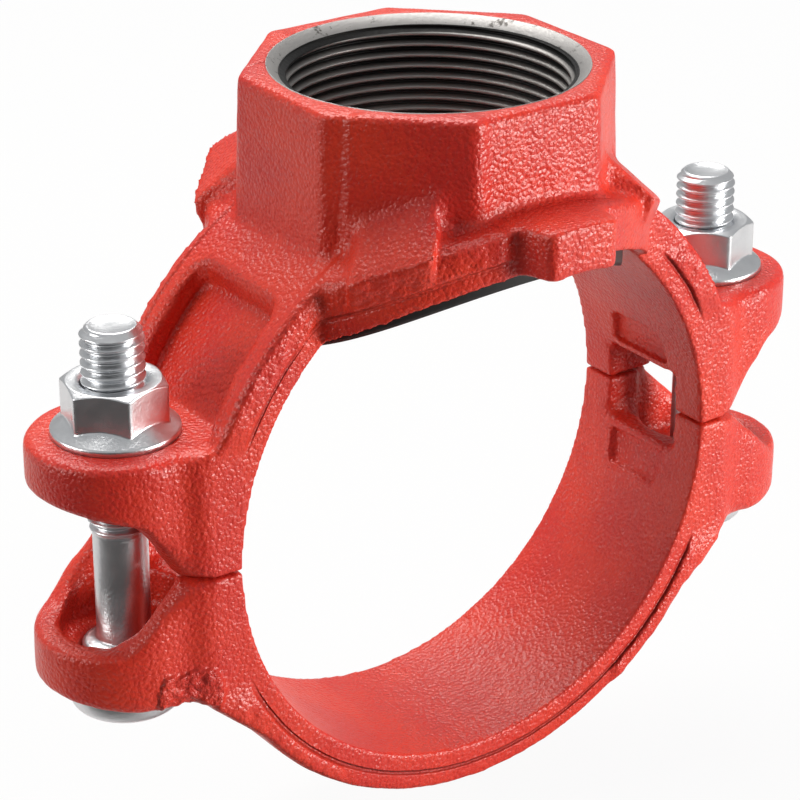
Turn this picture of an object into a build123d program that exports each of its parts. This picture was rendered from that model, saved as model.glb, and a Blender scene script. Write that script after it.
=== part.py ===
from build123d import *
from math import asin, cos, pi, radians, sin, sqrt, tan
import os

# Bolted branch outlet ("mechanical tee") for a 4 in. run pipe with a 2 in. threaded outlet.
# Two ductile iron castings close round the run pipe like a strap and are pulled together by
# two track-head bolts with flange nuts. The upper casting carries the eight-sided threaded
# outlet and the rubber gasket that seals round the hole cut in the pipe.
#
# Frame: the run pipe's axis is Y, the outlet's axis is Z, the bolts stand on the X axis and
# the castings part at Z = 0. The origin is where the run axis and the outlet axis cross.

# ---- Run pipe and housing walls ----
pipe_diameter = 114.3
bore_clearance = 1.35       # between the pipe and the bare cast bore, on the radius
housing_width = 40.0        # along the run
arm_wall = 10.5             # upper casting, over the ribs
strap_wall = 8.5            # lower casting
parting_gap = 0.4
edge_radius = 1.2           # cast edges

# ---- Outlet ----
outlet_height = 88.0        # run axis to the outlet's machined face
outlet_flats = 71.5         # across flats of the eight-sided boss, at its face
outlet_draft = 2.0          # degrees
thread_diameter = 58.1      # 2 in. pipe thread, at its pitch line
thread_depth = 22.0
mouth_chamfer_width = 3.25
mouth_chamfer_depth = 1.7
waterway_diameter = 54.0
boss_corner = 2.0           # rounding of the boss's corners
boss_rim = 1.0              # and round its face

# ---- Saddle round the outlet ----
saddle_radius = 44.8
lug_width = 16.0            # locating lugs at the middle of the front and back, at their face
lug_flare = 2.0             # wider at the root, on each side
lug_reach = 51.0            # from the outlet axis to the lug's face
saddle_relief = 0.6         # between the run bore and the saddle beside the arms
gusset_width = 17.0         # four gussets, on the diagonals
gusset_reach = 46.6
gusset_foot_height = 62.5
gusset_top_height = 71.0
gusset_skirt = 7.5          # height of the gusset's end face

# ---- Gasket ----
gasket_inner = 31.2         # radii about the outlet axis
gasket_outer = 39.6
gasket_height = 4.8         # along the run bore's radius
gasket_clearance = 0.25

# ---- Bolts and nuts (1/2 - 13 UNC track bolts) ----
bolt_spacing = 149.0
bolt_diameter = 12.7
bolt_length = 76.2          # under the head
shank_diameter = 11.0
thread_run = 43.0           # threaded length
neck_length = 17.5          # long axis of the oval neck
neck_width = 14.0
neck_height = 9.0
head_diameter = 22.5
head_rim = 4.0
head_dome = 3.4
bolt_end_chamfer = 1.3
thread_fit = 0.05           # radial, bolt in nut
hole_clearance = 0.9        # radial, bolt in the upper ear
neck_clearance = 0.35
head_clearance = 0.6

nut_flats = 19.05
nut_height = 11.3
nut_flange_diameter = 25.6
nut_flange_edge = 1.4
nut_flange_height = 3.6
nut_angles = {"left": 45.0, "right": 51.0}

# ---- Ears ----
ear_radius = 18.0           # round the bolt, in plan
ear_edge = 1.5              # rounding of the upper ear's top edge
nose_edge = 2.0             # rounding under the lower ear's nose
pad_height = 27.0           # run axis to the nut's seat
upper_nose = 9.2            # thickness of the upper ear at its tip
upper_root = 13.4           # and beside the bolt
seat_depth = 26.8           # run axis to the bolt head's seat
lower_nose = 10.4           # thickness of the lower ear at its tip
lower_floor = 9.2           # floor under the cup
cup_wall = 5.5
rim_drop = 14.0             # parting plane down to the cup's rim at the tip
parting_land = 11.5         # width of the parting faces, across the wall

# ---- Lightening recesses and windows ----
rib_width = 5.0
recess_depth = 5.0
recess_start = 46.5         # degrees above the parting plane, at the recess floor
recess_end_slope = 4.0      # degrees more at the outside
recess_corner = 4.0
window_width = 22.0
window_height = 9.0         # in each casting
panel_width = 18.0
panel_height = 7.5
panel_depth = 1.8
panel_gap = 1.6             # between window and panel

# ---- Worked out from the above ----
bore_radius = pipe_diameter / 2 + bore_clearance
arm_radius = bore_radius + arm_wall
strap_radius = bore_radius + strap_wall
half_width = housing_width / 2
bolt_x = bolt_spacing / 2
tip_x = bolt_x + ear_radius
land_x = bore_radius + parting_land
half_gap = parting_gap / 2
pad_x = sqrt(arm_radius**2 - pad_height**2)
sides = {"left": -1, "right": 1}


def plan_outline():
    """Outline of both castings seen from above: straight sides, and an end round each bolt."""
    with BuildSketch() as outline:
        Rectangle(2 * land_x - 2 * edge_radius, housing_width)
        Rectangle(bolt_spacing, 2 * ear_radius)
        with Locations((-bolt_x, 0), (bolt_x, 0)):
            Circle(ear_radius)
        corners = outline.vertices().filter_by_position(Axis.Y, half_width - 0.1, half_width + 0.1)
        corners += outline.vertices().filter_by_position(Axis.Y, -half_width - 0.1, -half_width + 0.1)
        fillet(corners, radius=1.8)
    return outline.sketch


# ---- Upper casting ----
with BuildPart() as saddle:
    # Round plinth under the outlet, with a lug at the front and one at the back.
    with BuildSketch(Plane.XY.offset(bore_radius / 3)):
        Circle(saddle_radius)
        with BuildLine():
            lug = Polyline(
                (0, lug_reach),
                (lug_width / 2, lug_reach),
                (lug_width / 2 + lug_flare, saddle_radius - 2),
                (lug_width / 2 + lug_flare, 0),
            )
            mirror(lug, about=Plane.YZ)
            mirror(about=Plane.XZ)
        make_face()
        corners = vertices().group_by(Axis.Y)
        fillet(corners[0] + corners[-1], radius=2)
    extrude(amount=arm_radius)
    with BuildSketch(Plane.XZ):
        Circle(arm_radius)
    extrude(amount=2 * lug_reach, both=True, mode=Mode.INTERSECT)

    # Gussets run out from four of the boss's flats. Each leans as the saddle does, so that it
    # keeps the same height over the round of the saddle along its width.
    root = outlet_flats / 2 - 4
    tip = (gusset_reach * cos(pi / 4), gusset_foot_height)
    fall = tip[0] / tip[1] * cos(pi / 4)
    for x_side, y_side in ((1, 1), (-1, 1), (-1, -1), (1, -1)):
        along = Vector(x_side, y_side, 0).normalized()
        across = Vector(x_side, -y_side, 0).normalized() - Vector(0, 0, fall)
        with BuildSketch(Plane(origin=(0, 0, 0), x_dir=along, z_dir=along.cross(Vector(0, 0, 1)))):
            Polygon(
                (root, gusset_foot_height - gusset_skirt),
                (saddle_radius - 0.5, gusset_foot_height - gusset_skirt),
                (gusset_reach, gusset_foot_height - 1),
                (gusset_reach - 1, gusset_foot_height),
                (outlet_flats / 2, gusset_top_height),
                (root, gusset_top_height),
                align=None,
            )
        extrude(amount=gusset_width / 2, dir=across, both=True)

# The space taken out of the saddle in front of the arms and behind them.
with BuildPart() as relief:
    front = Plane((0, -half_width, 0), z_dir=(0, -1, 0))
    back = Plane((0, half_width, 0), z_dir=(0, 1, 0))
    with BuildSketch(front, back):
        Circle(bore_radius + saddle_relief)
    extrude(amount=lug_reach)

# Eight-sided boss, drafted so that it widens downwards.
with BuildPart() as boss:
    boss_bottom = bore_radius / 2
    boss_growth = 2 * (outlet_height - boss_bottom) * tan(radians(outlet_draft))
    with BuildSketch(Plane.XY.offset(boss_bottom)):
        RegularPolygon((outlet_flats + boss_growth) / 2, 8, major_radius=False, rotation=22.5)
    extrude(amount=outlet_height - boss_bottom, taper=outlet_draft)
    fillet(edges().filter_by(Plane.XY, reverse=True), radius=boss_corner)
    fillet(faces().sort_by(Axis.Z)[-1].edges(), radius=boss_rim)

with BuildPart() as recess:
    floor_radius = arm_radius - recess_depth
    floor_x = sqrt(floor_radius**2 - pad_height**2)
    start = radians(recess_start)
    finish = radians(recess_start + recess_end_slope)
    middle = (start + radians(25)) / 2
    outside = arm_radius + 3
    with BuildSketch(Plane.XZ):
        with BuildLine():
            floor = ThreePointArc(
                (floor_x, pad_height),
                (floor_radius * cos(middle), floor_radius * sin(middle)),
                (floor_radius * cos(start), floor_radius * sin(start)),
            )
            Polyline(
                floor @ 1,
                (outside * cos(finish), outside * sin(finish)),
                (outside, outside * sin(finish)),
                (outside, pad_height),
                floor @ 0,
            )
        make_face()
    extrude(amount=half_width - rib_width, both=True)
    fillet(edges().filter_by(Plane.XZ).filter_by(GeomType.LINE).group_by(Axis.X)[0], radius=recess_corner)

# Arms and ears: the side view, then trimmed to the plan outline.
with BuildPart() as arms:
    ear_under = pad_height - upper_root
    with BuildSketch(Plane.XZ):
        with BuildLine():
            arch = ThreePointArc((-pad_x, pad_height), (0, arm_radius), (pad_x, pad_height))
            right = Polyline(
                arch @ 1,
                (tip_x + 1, pad_height),
                (tip_x + 1, pad_height - upper_nose),
                (bolt_x + 4, ear_under),
                (land_x, half_gap),
                (0, half_gap),
            )
            mirror(right, about=Plane.YZ)
        make_face()
        roots = vertices().filter_by_position(Axis.Y, ear_under - 0.1, ear_under + 0.1)
        fillet(roots, radius=6)
    extrude(amount=half_width, both=True)
    with BuildSketch():
        add(plan_outline())
    extrude(amount=arm_radius, mode=Mode.INTERSECT)


    # Rounded edges of the ears, above and below.
    pads = faces().filter_by(Plane.XY).filter_by(lambda face: abs(face.center().Z - pad_height) < 0.1)
    fillet([edge for edge in pads.edges() if abs(edge.center().X) > pad_x + 0.5], radius=ear_edge)
    under = faces().filter_by(lambda face: face.normal_at().Z < -0.2 and face.center().Z > 1)
    outer = [edge for edge in under.edges() if abs(edge.center().Y) > 1 or abs(edge.center().X) > tip_x - 2]
    fillet(outer, radius=edge_radius)

with BuildPart() as upper_housing:
    add(boss.part)
    add(saddle.part)
    add(arms.part)

    # Run bore. Beside the arms, the saddle stands back from it a little.
    with BuildSketch(Plane.XZ):
        Circle(bore_radius)
    extrude(amount=half_width, both=True, mode=Mode.SUBTRACT)
    add(relief.part, mode=Mode.SUBTRACT)

    # Recesses between the ribs of each arm, open towards the nut's pad.
    add([recess.part, recess.part.mirror(Plane.YZ)], mode=Mode.SUBTRACT)

    # Outlet: threaded bore, waterway and machined chamfer.
    with BuildSketch(Plane.XY.offset(outlet_height)):
        Circle(thread_diameter / 2)
    extrude(amount=-thread_depth, mode=Mode.SUBTRACT)
    with BuildSketch(Plane.XY.offset(outlet_height)):
        Circle(waterway_diameter / 2)
    extrude(amount=-outlet_height, mode=Mode.SUBTRACT)
    mouth = edges().filter_by(lambda edge: edge.geom_type == GeomType.CIRCLE and edge.radius > boss_corner)
    chamfer(mouth.group_by(Axis.Z)[-1], length=mouth_chamfer_depth, length2=mouth_chamfer_width)

    # Bolt holes.
    with Locations((-bolt_x, 0, pad_height), (bolt_x, 0, pad_height)):
        Hole(radius=bolt_diameter / 2 + hole_clearance, depth=pad_height)

    # Half of each window, beside the bolts.
    with Locations((-bore_radius, 0, 0), (bore_radius, 0, 0)):
        Box(6 * strap_wall, window_width, 2 * window_height, mode=Mode.SUBTRACT)

# Shallow panels in the bore above and below the windows are the same in both castings.
with BuildPart() as panel:
    with BuildSketch(Plane.XY.offset(window_height + panel_gap)):
        with Locations((-bore_radius, 0), (bore_radius, 0)):
            Rectangle(bore_radius / 2, panel_width)
    extrude(amount=panel_height, taper=12)
    with BuildSketch(Plane.XZ):
        Circle(bore_radius + panel_depth)
    extrude(amount=half_width, both=True, mode=Mode.INTERSECT)


def ring(inner, outer, face, root):
    """Ring about the outlet axis, between two cylinders about the run axis: its face and its root."""
    with BuildPart() as body:
        with BuildSketch():
            Circle(outer)
            Circle(inner, mode=Mode.SUBTRACT)
        extrude(amount=root)
        with BuildSketch(Plane.XZ):
            Circle(root)
        extrude(amount=2 * outer, both=True, mode=Mode.INTERSECT)
        with BuildSketch(Plane.XZ):
            Circle(face)
        extrude(amount=2 * outer, both=True, mode=Mode.SUBTRACT)
    return body.part


gasket_root = bore_radius + gasket_height
with BuildPart() as upper_casting:
    add(upper_housing.part)
    add(panel.part, mode=Mode.SUBTRACT)
    pocket = ring(
        gasket_inner - gasket_clearance,
        gasket_outer + gasket_clearance,
        bore_radius - saddle_relief,
        gasket_root + gasket_clearance,
    )
    add(pocket, mode=Mode.SUBTRACT)
upper_casting.part.label = "upper_housing"

# ---- Gasket ----
with BuildPart() as gasket:
    add(ring(gasket_inner, gasket_outer, bore_radius, gasket_root))
    add(relief.part, mode=Mode.SUBTRACT)
gasket.part.label = "gasket"

# ---- Lower casting ----
floor_height = -seat_depth + lower_floor
with BuildPart() as lower_housing:
    with BuildSketch(Plane.XZ):
        with BuildLine():
            foot = radians(36)
            belly = ThreePointArc(
                (strap_radius * cos(foot), -strap_radius * sin(foot)),
                (0, -strap_radius),
                (-strap_radius * cos(foot), -strap_radius * sin(foot)),
            )
            right = Polyline(
                belly @ 0,
                (bolt_x - 6, -seat_depth),
                (bolt_x + 6, -seat_depth),
                (tip_x + 1, -rim_drop - lower_nose),
                (tip_x + 1, -rim_drop),
                (bolt_x + 8.5, -rim_drop + 0.5),
                (land_x + 0.8, -half_gap - 1.5),
                (land_x, -half_gap),
                (0, -half_gap),
            )
            mirror(right, about=Plane.YZ)
        make_face()
        heel = vertices().filter_by_position(Axis.X, bolt_x - 6.1, bolt_x - 5.9)
        heel += vertices().filter_by_position(Axis.X, 5.9 - bolt_x, 6.1 - bolt_x)
        swoop = vertices().filter_by_position(Axis.X, bolt_x + 8.4, bolt_x + 8.6)
        swoop += vertices().filter_by_position(Axis.X, -8.6 - bolt_x, -8.4 - bolt_x)
        fillet(heel + swoop, radius=4)
    extrude(amount=half_width, both=True)
    with BuildSketch():
        add(plan_outline())
    extrude(amount=-strap_radius - 1, mode=Mode.INTERSECT)

    soles = edges().filter_by(lambda edge: abs(edge.center().Z + seat_depth) < 1.5)
    fillet([edge for edge in soles if abs(edge.center().X) > bolt_x], radius=nose_edge)

    # Cup round each bolt, open at the top.
    cup_radius = ear_radius - cup_wall
    with BuildSketch(Plane.XY.offset(floor_height)):
        for side in sides.values():
            with Locations((side * bolt_x, 0)):
                Circle(cup_radius)
            with Locations((side * (bolt_x + strap_radius) / 2, 0)):
                Rectangle(bolt_x - strap_radius, 2 * cup_radius)
    extrude(amount=seat_depth, mode=Mode.SUBTRACT)

    # Oval hole for the bolt's neck.
    with BuildSketch(Plane.XY.offset(-seat_depth)):
        with Locations((-bolt_x, 0), (bolt_x, 0)):
            SlotOverall(neck_length + 2 * neck_clearance, neck_width + 2 * neck_clearance)
    extrude(amount=seat_depth, mode=Mode.SUBTRACT)

    # Flat seat for the bolt's head, let into the curve of the strap.
    with BuildSketch(Plane.XY.offset(-seat_depth)):
        with Locations((-bolt_x, 0), (bolt_x, 0)):
            Circle(head_diameter / 2 + head_clearance)
    extrude(amount=-seat_depth, mode=Mode.SUBTRACT)

    # Run bore, windows and panels.
    with BuildSketch(Plane.XZ):
        Circle(bore_radius)
    extrude(amount=half_width, both=True, mode=Mode.SUBTRACT)
    with Locations((-bore_radius, 0, 0), (bore_radius, 0, 0)):
        Box(4 * strap_wall, window_width, 2 * window_height, mode=Mode.SUBTRACT)
    add(panel.part.mirror(Plane.XY), mode=Mode.SUBTRACT)
lower_housing.part.label = "lower_housing"


# ---- Bolts ----
def track_bolt(x):
    """Bolt with a domed round head, an oval neck and a reduced shank, standing at x."""
    thread_end = bolt_length - seat_depth
    dome_radius = ((head_diameter / 2) ** 2 + head_dome**2) / (2 * head_dome)
    dome_height = seat_depth + head_rim + head_dome - dome_radius
    lean = asin(head_diameter / 2 / dome_radius) / 2
    with BuildPart() as bolt:
        with BuildSketch(Plane.XZ):
            with BuildLine():
                Line((x, -seat_depth), (x + head_diameter / 2, -seat_depth))
                Line((x + head_diameter / 2, -seat_depth), (x + head_diameter / 2, -seat_depth - head_rim))
                ThreePointArc(
                    (x + head_diameter / 2, -seat_depth - head_rim),
                    (x + dome_radius * sin(lean), -dome_height - dome_radius * cos(lean)),
                    (x, -seat_depth - head_rim - head_dome),
                )
                Line((x, -seat_depth - head_rim - head_dome), (x, -seat_depth))
            make_face()
        revolve(axis=Axis((x, 0, 0), (0, 0, 1)))
        with BuildSketch(Plane.XY.offset(-seat_depth)):
            with Locations((x, 0)):
                SlotOverall(neck_length, neck_width)
        extrude(amount=neck_height)
        with BuildSketch(Plane.XY.offset(-seat_depth + neck_height)):
            with Locations((x, 0)):
                Circle(shank_diameter / 2)
        extrude(amount=bolt_length - neck_height - thread_run)
        with BuildSketch(Plane.XY.offset(thread_end - thread_run)):
            with Locations((x, 0)):
                Circle(bolt_diameter / 2)
        extrude(amount=thread_run)
        chamfer(faces().sort_by(Axis.Z)[-1].edges(), length=bolt_end_chamfer)
    return bolt.part


# ---- Nuts ----
def flange_nut(x, turn):
    """Hexagon nut with a conical flange, seated on the upper ear at x."""
    corner = nut_flats / 2 / cos(pi / 6)
    with BuildPart() as nut:
        with BuildSketch(Plane.XY.offset(pad_height)):
            with Locations((x, 0)):
                RegularPolygon(nut_flats / 2, 6, major_radius=False, rotation=turn + 30)
        extrude(amount=nut_height)
        # The top is turned off to a 30 degree cone.
        with BuildSketch(Plane.XZ):
            with Locations((x, pad_height)):
                Polygon(
                    (0, 0),
                    (corner + 1, 0),
                    (corner + 1, nut_height - (corner + 1 - nut_flats / 2) * tan(pi / 6)),
                    (nut_flats / 2, nut_height),
                    (0, nut_height),
                    align=None,
                )
        revolve(axis=Axis((x, 0, 0), (0, 0, 1)), mode=Mode.INTERSECT)
        with BuildSketch(Plane.XZ):
            with Locations((x, pad_height)):
                Polygon(
                    (0, 0),
                    (nut_flange_diameter / 2, 0),
                    (nut_flange_diameter / 2, nut_flange_edge),
                    (nut_flats / 2, nut_flange_height),
                    (0, nut_flange_height),
                    align=None,
                )
        revolve(axis=Axis((x, 0, 0), (0, 0, 1)))
        with Locations((x, 0, pad_height + nut_height)):
            Hole(radius=bolt_diameter / 2 + thread_fit, depth=nut_height)
    return nut.part


parts = [upper_casting.part, lower_housing.part, gasket.part]
for side, sign in sides.items():
    bolt = track_bolt(sign * bolt_x)
    bolt.label = "bolt_" + side
    nut = flange_nut(sign * bolt_x, nut_angles[side])
    nut.label = "nut_" + side
    parts += [bolt, nut]

os.makedirs("parts", exist_ok=True)
for part in parts:
    export_step(part, "parts/" + part.label + ".step")
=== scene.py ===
import math

import bpy
import numpy as np
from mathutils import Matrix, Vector


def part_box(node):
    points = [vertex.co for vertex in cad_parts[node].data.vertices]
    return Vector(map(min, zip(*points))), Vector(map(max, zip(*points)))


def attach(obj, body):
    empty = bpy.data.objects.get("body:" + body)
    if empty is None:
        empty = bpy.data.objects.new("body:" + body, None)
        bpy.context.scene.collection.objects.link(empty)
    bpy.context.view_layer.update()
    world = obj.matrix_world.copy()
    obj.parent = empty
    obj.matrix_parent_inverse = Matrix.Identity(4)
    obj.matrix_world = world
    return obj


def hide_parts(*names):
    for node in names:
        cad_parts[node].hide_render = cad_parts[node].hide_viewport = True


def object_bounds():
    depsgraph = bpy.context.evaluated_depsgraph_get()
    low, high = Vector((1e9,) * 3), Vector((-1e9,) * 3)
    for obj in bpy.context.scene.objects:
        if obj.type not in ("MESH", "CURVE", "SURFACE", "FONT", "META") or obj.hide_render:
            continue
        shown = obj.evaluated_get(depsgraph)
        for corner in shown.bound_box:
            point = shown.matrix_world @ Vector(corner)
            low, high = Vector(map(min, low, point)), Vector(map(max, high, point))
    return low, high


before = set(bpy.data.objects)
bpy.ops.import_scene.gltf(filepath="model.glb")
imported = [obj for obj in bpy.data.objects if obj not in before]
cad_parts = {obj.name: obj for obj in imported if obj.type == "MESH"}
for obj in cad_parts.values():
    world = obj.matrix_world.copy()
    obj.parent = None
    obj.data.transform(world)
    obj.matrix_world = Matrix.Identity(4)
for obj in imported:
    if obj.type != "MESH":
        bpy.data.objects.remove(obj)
cad_box = [list(map(float, corner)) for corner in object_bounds()]

# ---- Camera, lamps and floor ----
# The tee hangs just over a white sheet, with room for its lower casting to come down. A broad
# lamp is above it and two softer ones are at its left and right, so that each side shows gloss.
scene = bpy.context.scene
scene.view_settings.view_transform = "Standard"

eye = Vector((-0.3319, -0.4576, 0.2699))
sight = Vector((-0.0070, 0.0, 0.0159))
camera = bpy.data.objects.new("camera", bpy.data.cameras.new("camera"))
camera.data.lens = 133.84
camera.data.sensor_width = 36
camera.data.clip_start = 0.01
camera.location = eye
camera.rotation_euler = (sight - eye).to_track_quat("-Z", "Y").to_euler()
scene.collection.objects.link(camera)
scene.camera = camera

lamp_tint = (1.0, 0.965, 0.93)
lamps_face = Vector((0, 0, 0.01))
for name, place, width, power in (
    ("lamp_over", (0.12, 0.40, 0.88), 0.7, 11.5),
    ("lamp_right", (0.62, -0.80, 0.12), 0.35, 11.3),
    ("lamp_left", (-0.95, 0.28, 0.26), 0.5, 4.4),
):
    lamp = bpy.data.objects.new(name, bpy.data.lights.new(name, "AREA"))
    lamp.data.size = width
    lamp.data.energy = power
    lamp.data.color = lamp_tint
    lamp.location = place
    lamp.rotation_euler = (lamps_face - lamp.location).to_track_quat("-Z", "Y").to_euler()
    scene.collection.objects.link(lamp)


class Value:
    """A socket that can be added, subtracted, multiplied and raised like a number."""

    def __init__(self, tree, socket):
        self.tree, self.socket = tree, socket

    def _math(self, operation, a, b):
        return Finish.attach(self.tree, "ShaderNodeMath", {"operation": operation}, {0: a, 1: b})

    def __add__(self, other):
        return self._math("ADD", self, other)

    def __radd__(self, other):
        return self._math("ADD", other, self)

    def __sub__(self, other):
        return self._math("SUBTRACT", self, other)

    def __rsub__(self, other):
        return self._math("SUBTRACT", other, self)

    def __mul__(self, other):
        return self._math("MULTIPLY", self, other)

    def __rmul__(self, other):
        return self._math("MULTIPLY", other, self)

    def __pow__(self, other):
        return self._math("POWER", self, other)


class Finish:
    """A material under construction."""

    def __init__(self, name, tree=None):
        if tree is None:
            self.material = bpy.data.materials.new(name)
            self.material.use_nodes = True
            tree = self.material.node_tree
        self.tree = tree
        self.tree.nodes.clear()

    @staticmethod
    def attach(tree, kind, settings, values, output=0):
        node = tree.nodes.new(kind)
        for key, value in settings.items():
            setattr(node, key, value)
        for key, value in values.items():
            if isinstance(value, Value):
                tree.links.new(value.socket, node.inputs[key])
            else:
                node.inputs[key].default_value = value
        return Value(tree, node.outputs[output]) if node.outputs else None

    def node(self, kind, settings=None, values=None, output=0):
        """One node: its settings first, then the values or links of its sockets."""
        return self.attach(self.tree, kind, settings or {}, values or {}, output)

    def place(self):
        return self.node("ShaderNodeTexCoord", output="Object")

    def noise(self, where, scale, detail=2.0, roughness=0.5):
        return self.node(
            "ShaderNodeTexNoise",
            values={"Vector": where, "Scale": scale, "Detail": detail, "Roughness": roughness},
        )

    def step(self, value, low, high):
        """0 below low, 1 above high and smooth between them."""
        return self.node(
            "ShaderNodeMapRange",
            {"interpolation_type": "SMOOTHSTEP"},
            {"Value": value, "From Min": low, "From Max": high},
        )

    def mix(self, share, a, b):
        return self.node(
            "ShaderNodeMix",
            {"data_type": "RGBA"},
            {0: share, 6: a, 7: b},
            output=2,
        )

    def bump(self, height, distance):
        values = {"Height": height, "Distance": distance, "Strength": 1.0}
        return self.node("ShaderNodeBump", values=values)

    def surface(self, **values):
        shader = self.node("ShaderNodeBsdfPrincipled", values=values)
        self.node("ShaderNodeOutputMaterial", values={"Surface": shader})
        return self.material


world = bpy.data.worlds.new("studio")
world.use_nodes = True
scene.world = world
air = Finish("studio", world.node_tree)
seen = air.node("ShaderNodeLightPath", output="Is Camera Ray")
direction = air.node("ShaderNodeTexCoord", output="Generated")
# A dark cloth hangs low in front of the tee, so that its near side and the metal have dark parts.
ahead = air.node(
    "ShaderNodeVectorMath", {"operation": "DOT_PRODUCT"}, {0: direction, 1: (-0.80, -0.60, 0.0)}, 1
)
above = air.node(
    "ShaderNodeVectorMath", {"operation": "DOT_PRODUCT"}, {0: direction, 1: (0, 0, 1)}, 1
)
shade_flag = air.step(ahead, 0.30, 0.85) * (1 - air.step(above, 0.10, 0.45))
mirrored = air.node("ShaderNodeLightPath", output="Is Glossy Ray")
glow = (0.25 + mirrored * 0.20) * (1 - shade_flag * 0.72)
sky = air.node(
    "ShaderNodeBackground",
    values={"Color": (1, 1, 1, 1), "Strength": glow + seen * (1.0 - glow)},
)
air.node("ShaderNodeOutputWorld", values={"Surface": sky})

sheet = Finish("white_sheet")
seen = sheet.node("ShaderNodeLightPath", output="Is Camera Ray")
ahead = sheet.node(
    "ShaderNodeVectorMath",
    {"operation": "DOT_PRODUCT"},
    {0: sheet.place(), 1: (-0.85, -0.53, 0.0)},
    1,
)
# For all but camera rays the sheet is near black in front of the tee: painted shade, a dark patch
# the camera never sees, that darkens the tee's near side and the metal.
shade_flag = sheet.step(ahead, 0.08, 0.18) * (1 - seen)
tone = sheet.mix(shade_flag, (0.62, 0.62, 0.62, 1), (0.07, 0.07, 0.07, 1))
lit = sheet.node("ShaderNodeBsdfDiffuse", values={"Color": tone})
glow = sheet.node("ShaderNodeEmission", values={"Color": (1, 1, 1, 1), "Strength": 1.0})
blend = sheet.node("ShaderNodeMixShader", values={0: seen * 0.94, 1: lit, 2: glow})
sheet.node("ShaderNodeOutputMaterial", values={"Surface": blend})

drop_room = 0.0115
floor_level = cad_box[0][2] - drop_room
floor_half = 4
floor_mesh = bpy.data.meshes.new("sheet")
sheet_corners = ((-1, -1), (1, -1), (1, 1), (-1, 1))
floor_mesh.from_pydata(
    [(x * floor_half, y * floor_half, floor_level) for x, y in sheet_corners], [], [(0, 1, 2, 3)]
)
floor_mesh.materials.append(sheet.material)
floor = bpy.data.objects.new("sheet", floor_mesh)
scene.collection.objects.link(floor)

# ---- Housings ----
# Two ductile iron castings from a green sand mould, shot-blasted and dipped or sprayed in a
# thick orange-red enamel. Every edge is round, the skin is pebbled by the sand, and the mould's
# joint leaves a step along both sides of the arms and the strap.
bore = 0.0585
mould_line = 0.0633
voxel = 0.00062
most_triangles = 190000
half_root = 0.5**0.5
# High on the saddle the mould's line stops at the side of the lug.
lug_corner = (-0.0140, -0.0110)
lug_foot = 0.040
# Where a feeder was broken off under the near ear, and half its size each way.
feeder_middle = np.array([-0.0708, -0.0185, -0.0238])
feeder_half = np.array([0.0075, 0.006, 0.0048])


def with_modifier(name, mesh, kind, settings):
    """The mesh that one modifier makes of another."""
    draft = bpy.data.objects.new(name, mesh)
    scene.collection.objects.link(draft)
    step = draft.modifiers.new(kind, kind)
    for key, value in settings.items():
        setattr(step, key, value)
    bpy.context.view_layer.update()
    ready = draft.evaluated_get(bpy.context.evaluated_depsgraph_get())
    made = bpy.data.meshes.new_from_object(ready)
    bpy.data.objects.remove(draft)
    return made


def read_points(mesh):
    flat = np.empty(len(mesh.vertices) * 3)
    mesh.vertices.foreach_get("co", flat)
    return flat.reshape(-1, 3)


def read_normals(mesh):
    flat = np.empty(len(mesh.vertices) * 3)
    mesh.vertices.foreach_get("normal", flat)
    return flat.reshape(-1, 3)


def read_edges(mesh):
    flat = np.empty(len(mesh.edges) * 2, np.int64)
    mesh.edges.foreach_get("vertices", flat)
    return flat.reshape(-1, 2)


def write_points(mesh, points):
    mesh.vertices.foreach_set("co", points.astype(np.float32).ravel())
    mesh.update()


def soften(points, edges, share, rounds):
    """Rounds a surface: in each round, every point moves by its share of the way to the mean of
    its neighbours."""
    count = np.bincount(edges.ravel(), minlength=len(points))[:, None]
    share = np.broadcast_to(share, len(points))[:, None]
    for _ in range(rounds):
        total = np.zeros_like(points)
        for axis in range(3):
            total[:, axis] = np.bincount(edges[:, 0], points[edges[:, 1], axis], len(points))
            total[:, axis] += np.bincount(edges[:, 1], points[edges[:, 0], axis], len(points))
        points = points + share * (total / count - points)
    return points


def smooth_step(value, low, high):
    """0 below low, 1 above high, and 3t^2 - 2t^3 between them."""
    t = np.clip((value - low) / (high - low), 0, 1)
    return t * t * (3 - 2 * t)


def waves(points, size, seed):
    """Smooth random hills about 1 high and `size` across: a sum of sines in random directions."""
    chance = np.random.default_rng(seed)
    way = chance.normal(size=(14, 3))
    way /= np.linalg.norm(way, axis=1)[:, None]
    turns = 2 * math.pi / size * chance.uniform(0.7, 1.5, 14)
    shift = chance.uniform(0, 2 * math.pi, 14)
    return np.sin(points @ (way * turns[:, None]).T + shift).sum(1) / math.sqrt(14)


def torn_patch(points):
    """1 on the feeder's scar and 0 off it: a block with round corners and a ragged edge."""
    away = np.abs(points - feeder_middle) / feeder_half
    away *= 1 + 0.08 * waves(points, 0.0060, 11)[:, None]
    return 1 - smooth_step((away**3).sum(1) ** (1 / 3), 0.88, 1.0)


# The enamel: a patchy colour, two sizes of pebble, the mould's line with a thin line of painted
# shade in its groove, and the feeder's scar.
enamel = Finish("housing_enamel")
where = enamel.place()
pebble = enamel.node(
    "ShaderNodeTexVoronoi",
    {"feature": "F1"},
    {"Vector": where, "Scale": 1100.0},
)
grain = enamel.noise(where, 1500.0, 2.0, 0.5)
swell = enamel.noise(where, 260.0, 2.0, 0.5)
patches = enamel.noise(where, 45.0, 3.0, 0.6)
skin = grain * 0.7 + (1 - pebble) * 0.7 + swell * 0.4
axes = enamel.node("ShaderNodeSeparateXYZ", values={"Vector": where}).socket.node.outputs
x_part, y_part, z_part = (Value(enamel.tree, axes[axis]) for axis in range(3))
reach = (x_part * x_part + z_part * z_part) ** 0.5 + (swell - 0.5) * 0.0004
groove = enamel.step(reach, mould_line - 0.0012, mould_line - 0.0008) - enamel.step(
    reach, mould_line - 0.0006, mould_line - 0.0001
)
faint = 1 - 0.75 * enamel.step(z_part, lug_foot, lug_foot + 0.006)
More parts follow.
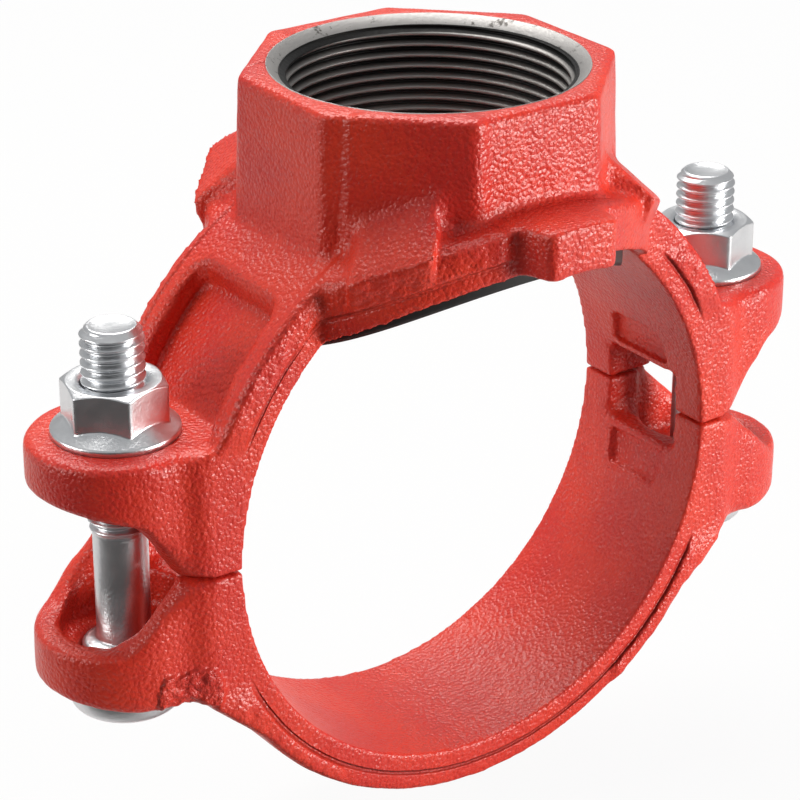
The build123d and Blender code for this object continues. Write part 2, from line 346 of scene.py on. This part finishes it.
ridge = enamel.step(reach, mould_line - 0.0005, mould_line + 0.0002) - 0.9 * groove * faint
along = enamel.node("ShaderNodeMath", {"operation": "ABSOLUTE"}, {0: z_part})
corner = enamel.step(x_part, *lug_corner) * enamel.step(z_part, lug_foot, lug_foot + 0.004)
side = enamel.node("ShaderNodeMath", {"operation": "ABSOLUTE"}, {0: y_part})
shown = enamel.step(along, 0.024, 0.031) * enamel.step(side, 0.0175, 0.019) * (1 - corner)
scar = enamel.node("ShaderNodeAttribute", {"attribute_name": "scar"}, output="Fac")
rough_skin = enamel.noise(where, 480.0, 3.0, 0.6)
deep = enamel.mix(
    enamel.step(patches + (grain - 0.5) * 0.6, 0.25, 0.75),
    (0.56, 0.024, 0.017, 1),
    (0.68, 0.042, 0.018, 1),
)
color = enamel.mix(scar * 0.15, deep, (0.40, 0.022, 0.018, 1))
# A thin dark red line in the groove below the mould's proud half, fainter high on the saddle:
# painted shade.
color = enamel.mix(groove * shown * faint * 0.40, color, (0.16, 0.006, 0.006, 1))
relief = skin * 0.00027 + ridge * shown * 0.0006 + rough_skin * scar * 0.0012
normal = enamel.bump(relief, 1.0)
enamel.surface(
    **{
        "Base Color": color,
        "Roughness": 0.33 + (grain - 0.5) * 0.25,
        "Specular IOR Level": 0.45,
        "Normal": normal,
    }
)

for node, body in (("upper_housing", "upper"), ("lower_housing", "lower")):
    # The solid's loose triangles are merged and rebuilt as an even grid of small squares.
    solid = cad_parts[node].data.copy()
    mesh = with_modifier(node, solid, "WELD", {"merge_threshold": 0.00001})
    mesh = with_modifier(node, mesh, "REMESH", {"mode": "VOXEL", "voxel_size": voxel})
    points = read_points(mesh)
    edges = read_edges(mesh)
    facings = np.array([(1, 0), (0, 1), (half_root, half_root), (half_root, -half_root)])
    octagon = np.abs(points[:, :2] @ facings.T).max(1)
    radius = np.hypot(points[:, 0], points[:, 2])
    # The cove round the foot of the boss and the gussets is wider than the other edges.
    foot = smooth_step(octagon, 0.033, 0.036) * (1 - smooth_step(octagon, 0.0415, 0.0435))
    foot *= 1 - smooth_step(points[:, 2], 0.074, 0.077)
    foot *= smooth_step(points[:, 2], 0.058, 0.060)
    # So are the strap's outer edges, the rims of the bolts' cups and the windows' corners, and
    # widest is the hollow where an ear runs into the side of its arm.
    outer = smooth_step(radius, 0.0640, 0.0655) * (points[:, 2] < -0.001)
    along, side, up = np.abs(points).T
    window = smooth_step(side, 0.0080, 0.0095) * (1 - smooth_step(side, 0.0125, 0.0140))
    window *= smooth_step(up, 0.0055, 0.0075) * (1 - smooth_step(up, 0.0103, 0.0112))
    window *= along > 0.050
    waist = smooth_step(along, 0.0650, 0.0665) * (1 - smooth_step(along, 0.0740, 0.0765))
    waist *= smooth_step(side, 0.0145, 0.0165)
    # The gussets' long edges are rounder still where they run up the boss.
    out = (along + side) * half_root
    off = np.abs(along - side) * half_root
    shoulder = smooth_step(off, 0.0058, 0.0072) * (1 - smooth_step(off, 0.0095, 0.0110))
    shoulder *= smooth_step(out, 0.0300, 0.0325) * (1 - smooth_step(out, 0.0410, 0.0440))
    shoulder *= smooth_step(points[:, 2], 0.0580, 0.0600)
    shoulder *= 1 - smooth_step(points[:, 2], 0.0745, 0.0765)
    bored = (1 - smooth_step(radius, bore + 0.0022, bore + 0.0030)) * (points[:, 2] < 0.050)
    points = soften(points, edges, 0.5 * (1 - 0.6 * bored), 6)
    points = soften(points, edges, 0.5 * np.maximum(0.55 * foot, 0.8 * outer), 14)
    points = soften(points, edges, 0.5 * np.maximum(np.maximum(window, waist), shoulder), 36)

    # Behind the machined thread and chamfer the casting's skin stands back a little.
    ring = np.hypot(points[:, 0], points[:, 1])
    turned_to = np.interp(points[:, 2], (0.0860, 0.0880), (0.0301, 0.0324))
    inside = (points[:, 2] > 0.0665) & (ring < turned_to)
    points[inside, :2] *= (turned_to / ring)[inside, None]
    write_points(mesh, points)

    # The outer half of the mould sits a little proud along the sides of arms, saddle and strap.
    normals = read_normals(mesh)
    radius = np.hypot(points[:, 0], points[:, 2])
    upright = np.abs(np.sum(normals[:, ::2] * points[:, ::2], 1)) / radius
    flank = 1 - smooth_step(upright, 0.35, 0.65)
    flank *= smooth_step(octagon, 0.0390, 0.0400) * smooth_step(np.abs(points[:, 2]), 0.025, 0.032)
    flank *= 1 - smooth_step(points[:, 0], *lug_corner) * smooth_step(
        points[:, 2], lug_foot, lug_foot + 0.004
    )
    band = smooth_step(radius, mould_line - 0.0003, mould_line + 0.0003) * flank
    lift = 0.00070 * band + 0.00003 * waves(points, 0.008, 3)
    lift += 0.00013 * band * waves(points, 0.0032, 5)

    # A broken-off feeder leaves a torn patch under the near ear.
    if node == "lower_housing":
        lift += torn_patch(points) * (0.00025 * waves(points, 0.0024, 8) + 0.0004)
    write_points(mesh, points + normals * lift[:, None])

    share = min(1.0, most_triangles / (2 * len(mesh.polygons)))
    mesh = with_modifier(node, mesh, "DECIMATE", {"ratio": share})
    points = read_points(mesh)
    torn = torn_patch(points) if node == "lower_housing" else np.zeros(len(points))
    mark = mesh.attributes.new("scar", "FLOAT", "POINT")
    mark.data.foreach_set("value", torn.astype(np.float32))
    mesh.polygons.foreach_set("use_smooth", np.ones(len(mesh.polygons), bool))
    mesh.materials.clear()
    mesh.materials.append(enamel.material)
    housing = bpy.data.objects.new(node + "_casting", mesh)
    scene.collection.objects.link(housing)
    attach(housing, body)
    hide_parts(node)

# ---- Outlet thread ----
# A right-hand 2 in. taper pipe thread, 11 turns to the inch, cut in the bare iron of the boss
# after painting, with a turned chamfer at its mouth. It is left oiled and unpainted, and the near
# black of its roots is painted shade.
outlet_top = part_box("upper_housing")[1].z
thread_pitch = 0.0254 / 11
thread_root = 0.02975
thread_crest = 0.02845
thread_bottom = outlet_top - 0.0215
chamfer_foot = outlet_top - 0.0017
# The wall closes in downwards by 0.7 of a pipe thread's 1 in 32.
taper_rate = 0.7 / 32


def grid_faces(rows, columns):
    """The squares of a grid whose columns close on themselves."""
    row, column = np.meshgrid(np.arange(rows - 1), np.arange(columns), indexing="ij")
    after = (column + 1) % columns
    corner = [row * columns + column, row * columns + after, (row + 1) * columns + after]
    return np.stack(corner + [(row + 1) * columns + column], -1).reshape(-1, 4)


def full_turn(columns):
    """A row of angles that go once round, the last one short of the first."""
    return np.linspace(0, 2 * math.pi, columns, endpoint=False)[None, :]


def turned(radius, height, center=(0.0, 0.0)):
    """Points of a turned surface: radius and height are tables of rows by angles, and each point
    stands at its radius round the axis, at its height."""
    angle = full_turn(radius.shape[1])
    x = center[0] + radius * np.cos(angle)
    y = center[1] + radius * np.sin(angle)
    return np.stack([x, y, np.broadcast_to(height, radius.shape)], -1).reshape(-1, 3)


def add_piece(name, points, faces, material, body):
    mesh = bpy.data.meshes.new(name)
    mesh.from_pydata(points.tolist(), [], faces.tolist())
    mesh.polygons.foreach_set("use_smooth", np.ones(len(mesh.polygons), bool))
    mesh.materials.append(material)
    mesh.update()
    piece = bpy.data.objects.new(name, mesh)
    scene.collection.objects.link(piece)
    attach(piece, body)
    return piece


def thread_profile(height, angle, pitch):
    """A thread's profile, 0 at its least radius and 1 at its greatest: a triangle wave along the
    height, shifted by one pitch per turn, with both ends cut flat."""
    phase = height / pitch - angle / (2 * math.pi)
    wave = np.abs(2 * (phase - np.floor(phase)) - 1)
    return np.clip((wave - 0.12) / 0.76, 0, 1)


bare = Finish("turned_iron")
where = bare.place()
axes = bare.node("ShaderNodeSeparateXYZ", values={"Vector": where}).socket.node.outputs
x_part, y_part, z_part = (Value(bare.tree, axes[axis]) for axis in range(3))
ring_reach = (x_part**2 + y_part**2) ** 0.5
# Grey on the crests, near black at the roots and in the band where the thread runs out under the
# chamfer: painted shade in the grooves.
root_shade = bare.step(ring_reach, 0.0283, 0.0296) + bare.step(z_part, 0.0846, 0.0852)
streak = bare.noise(where, 900.0, 2.0, 0.6)
blotch = bare.noise(where, 120.0, 3.0, 0.6)
bare.surface(
    **{
        "Base Color": bare.mix(root_shade, (0.34, 0.33, 0.32, 1), (0.010, 0.010, 0.010, 1)),
        "Metallic": 0.85,
        "Roughness": 0.28 + streak * 0.2 + blotch * 0.1,
        "Normal": bare.bump(streak, 0.00006),
    }
)

columns = 320
angle = full_turn(columns)
height = np.linspace(thread_bottom, chamfer_foot, 190)[:, None]
taper = (height - outlet_top) * taper_rate
depth = thread_profile(height, angle, thread_pitch)
runout = smooth_step(height, chamfer_foot - 0.0009, chamfer_foot)
depth = np.maximum(depth, runout)
inner = thread_crest + (thread_root - thread_crest) * depth + taper
foot_radius = np.array([0.02990, 0.03020])[:, None] + 0 * angle
foot_height = chamfer_foot - 0.00002 + 0 * foot_radius
radius = np.vstack([inner, foot_radius])
height = np.vstack([height + 0 * inner, foot_height])
faces = grid_faces(len(radius), columns)[:, ::-1]
points = turned(radius, height)
add_piece("outlet_thread", points, faces, bare.material, "upper")

faced = Finish("faced_iron")
where = faced.place()
grain = faced.noise(where, 1300.0, 3.0, 0.6)
stain = faced.noise(where, 260.0, 4.0, 0.7)
stained = faced.step(stain, 0.58, 0.68)
faced.surface(
    **{
        "Base Color": faced.mix(stained, (0.32, 0.315, 0.31, 1), (0.08, 0.075, 0.07, 1)),
        "Metallic": 0.8,
        "Roughness": 0.38 + grain * 0.2,
        "Normal": faced.bump(grain, 0.00008),
    }
)
radius = np.array([0.02985, 0.03000, 0.03225, 0.03238, 0.03250])[:, None] + 0 * angle
height = np.array([-0.00190, -0.00168, -0.00004, 0.00001, -0.00040])[:, None]
height = height + outlet_top + 0 * radius
faces = grid_faces(len(radius), columns)[:, ::-1]
points = turned(radius, height)
add_piece("outlet_chamfer", points, faces, faced.material, "upper")

# ---- Gasket ----
# A moulded black rubber ring with a pressure groove in its inner edge. It lies in a pocket
# round the outlet and stands proud of the bore until the pipe presses it flat.
gasket_inner = 0.0312
gasket_outer = 0.0396
gasket_root = bore + 0.0046
gasket_face = bore - 0.0041

rubber = Finish("gasket_rubber")
where = rubber.place()
bloom = rubber.noise(where, 300.0, 3.0, 0.6)
rubber.surface(
    **{
        "Base Color": rubber.mix(bloom, (0.006, 0.006, 0.006, 1), (0.012, 0.012, 0.012, 1)),
        "Roughness": 0.42 + bloom * 0.15,
        "Normal": rubber.bump(bloom, 0.00003),
    }
)

# Its section goes round clockwise: how far across the ring, and how far from face to root.
section = np.array(
    [
        (0.10, 0.00), (0.90, 0.00), (0.97, 0.03), (1.00, 0.12), (1.00, 0.90), (0.96, 1.00),
        (0.04, 1.00), (0.00, 0.90), (0.00, 0.66), (0.10, 0.58), (0.22, 0.50), (0.22, 0.42),
        (0.10, 0.34), (0.00, 0.28), (0.00, 0.10), (0.03, 0.03), (0.10, 0.00),
    ]
)
columns = 256
angle = full_turn(columns)
across = gasket_inner + (gasket_outer - gasket_inner) * section[:, :1] + 0 * angle
level = gasket_face + (gasket_root - gasket_face) * section[:, 1:]
side_x = across * np.cos(angle)
rise = np.sqrt(level**2 - side_x**2)
faces = grid_faces(len(section), columns)
points = turned(across, rise)
gasket = add_piece("gasket_ring", points, faces, rubber.material, "upper")
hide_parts("gasket")

# ---- Bolts ----
# Two 1/2 in. track-head bolts, forged, with rolled threads and bright zinc plating. The oval
# neck sits in the oval hole of the lower casting and keeps the bolt from turning.
zinc = Finish("zinc_plate")
where = zinc.place()
dull = zinc.noise(where, 160.0, 4.0, 0.6)
scratch = zinc.noise(where, 1500.0, 2.0, 0.5)
zinc.surface(
    **{
        "Base Color": zinc.mix(dull, (0.60, 0.62, 0.65, 1), (0.82, 0.84, 0.86, 1)),
        "Metallic": 1.0,
        "Roughness": 0.20 + dull * 0.22,
        "Normal": zinc.bump(scratch + dull * 2.0, 0.00005),
    }
)

bolt_x = 0.0745
bolt_major = 0.00632
bolt_root = 0.00530
shank = 0.0055
bolt_pitch = 0.0254 / 13
head_radius = 0.01125
neck_half = (0.00875, 0.0070)
seat = -0.0268
neck_top = -0.0178
thread_start = 0.0064
bolt_top = 0.0494

for side_name, side in (("left", -1), ("right", 1)):
    columns = 128
    angle = full_turn(columns)
    # Threaded end: the groove fades out at the shank, and a cone cuts the crests off the tip.
    height = np.linspace(thread_start - 0.0015, bolt_top, 400)[:, None]
    full = bolt_root + (bolt_major - bolt_root) * thread_profile(height, angle, bolt_pitch)
    fade = smooth_step(height, thread_start - 0.0012, thread_start + 0.0015)
    body = shank + (full - shank) * fade
    tip = bolt_major - np.clip(height - (bolt_top - 0.0014), 0, 1)
    threads = np.minimum(body, tip)
    # The tip is dished a little, as the rolling leaves it.
    end_radius = np.array([0.0047, 0.0044, 0.0036, 0.002, 0.0])[:, None] + 0 * angle
    end_height = bolt_top + np.array([0.0001, 0.0, -0.0003, -0.0004, -0.0004])[:, None]
    # Head, neck and shank from below: the neck is an oval, two half circles and their tangents.
    dome = np.linspace(0, 1, 15)[:, None]
    dome_radius = head_radius * np.sin(dome * math.pi / 2) ** 0.9
    dome_height = seat - 0.0040 - 0.0034 * np.cos(dome * math.pi / 2)
    straight = neck_half[0] - neck_half[1]
    bulge = np.abs(np.cos(angle)) * straight
    oval = bulge + np.sqrt(neck_half[1] ** 2 - (straight * np.sin(angle)) ** 2)
    low_radius = [r + 0 * angle for r in dome_radius]
    low_height = [h + 0 * angle for h in dome_height]
    for r, h in (
        (head_radius + 0.00003, seat - 0.0030),
        (head_radius, seat - 0.0006),
        (head_radius - 0.0004, seat - 0.00005),
        (head_radius - 0.0012, seat),
        (oval + 0.0002, seat),
        (oval, seat + 0.0003),
        (oval, neck_top - 0.0008),
        (oval - 0.0005, neck_top - 0.0001),
        (oval - 0.0012, neck_top),
        (shank + 0.0004, neck_top + 0.0001),
        (shank, neck_top + 0.0006),
        (shank, thread_start - 0.0040),
        (shank, thread_start - 0.0016),
    ):
        low_radius.append(r + 0 * angle)
        low_height.append(h + 0 * angle)
    radius = np.vstack(low_radius + [threads, end_radius])
    height = np.vstack(low_height + [height + 0 * angle, end_height + 0 * angle])
    points = turned(radius, height, (side * bolt_x, 0.0))
    faces = grid_faces(len(radius), columns)
    bolt = add_piece("track_bolt_" + side_name, points, faces, zinc.material, "lower")
    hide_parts("bolt_" + side_name)

# ---- Nuts ----
# Cold-formed hexagon flange nuts, zinc plated like the bolts. The flange is a shallow cone that
# spreads the load on the ear, and the hexagon's top corners are turned off.
nut_half = 0.009525
nut_low = 0.0270
nut_high = 0.0383
flange = 0.0128
corner_reach = 0.01085
top_slope = math.tan(math.radians(30))


def softer_least(a, b, width):
    """The lesser of two lengths, with the corner between them rounded over `width`."""
    near = np.clip(1 - np.abs(a - b) / width, 0, 1)
    return np.minimum(a, b) - width * near**3 / 6


for side_name, side, turn in (("left", -1, 45.0), ("right", 1, 51.0)):
    columns = 240
    angle = full_turn(columns)
    turned_by = (angle - math.radians(turn) + math.pi / 6) % (math.pi / 3) - math.pi / 6
    corners = nut_half / np.cos(turned_by)
    corners = softer_least(corners, corner_reach, 0.0003)
    height = np.concatenate(
        [
            np.array([0.0, 0.00015, 0.0009, 0.0013, 0.0015]),
            np.linspace(0.0017, 0.0100, 34),
            np.linspace(0.0101, nut_high - nut_low, 16),
        ]
    )[:, None]
    cone = nut_half - 0.0002 + (nut_high - nut_low - height) / top_slope
    hexagon = softer_least(corners, cone, 0.0004)
    rim = np.where(height < 0.0014, flange, flange - (height - 0.0014) * 1.35)
    rim = rim - 0.0004 * (height == 0.0)
    body = np.maximum(hexagon, rim)
    top_radius = np.array([0.0091, 0.0076, 0.0070, 0.0063, 0.0063])[:, None] + 0 * angle
    top_height = np.array([0.0113, 0.0113, 0.0110, 0.0104, 0.0])[:, None]
    bottom_radius = np.array([0.0063, 0.0120])[:, None] + 0 * angle
    radius = np.vstack([bottom_radius, body, top_radius])
    height = np.vstack([np.zeros((2, 1)), height, top_height]) + 0 * radius + nut_low
    points = turned(radius, height, (side * bolt_x, 0.0))
    faces = grid_faces(len(radius), columns)
    nut = add_piece(
        "flange_nut_" + side_name, points, faces, zinc.material, side_name + "_nut"
    )
    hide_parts("nut_" + side_name)
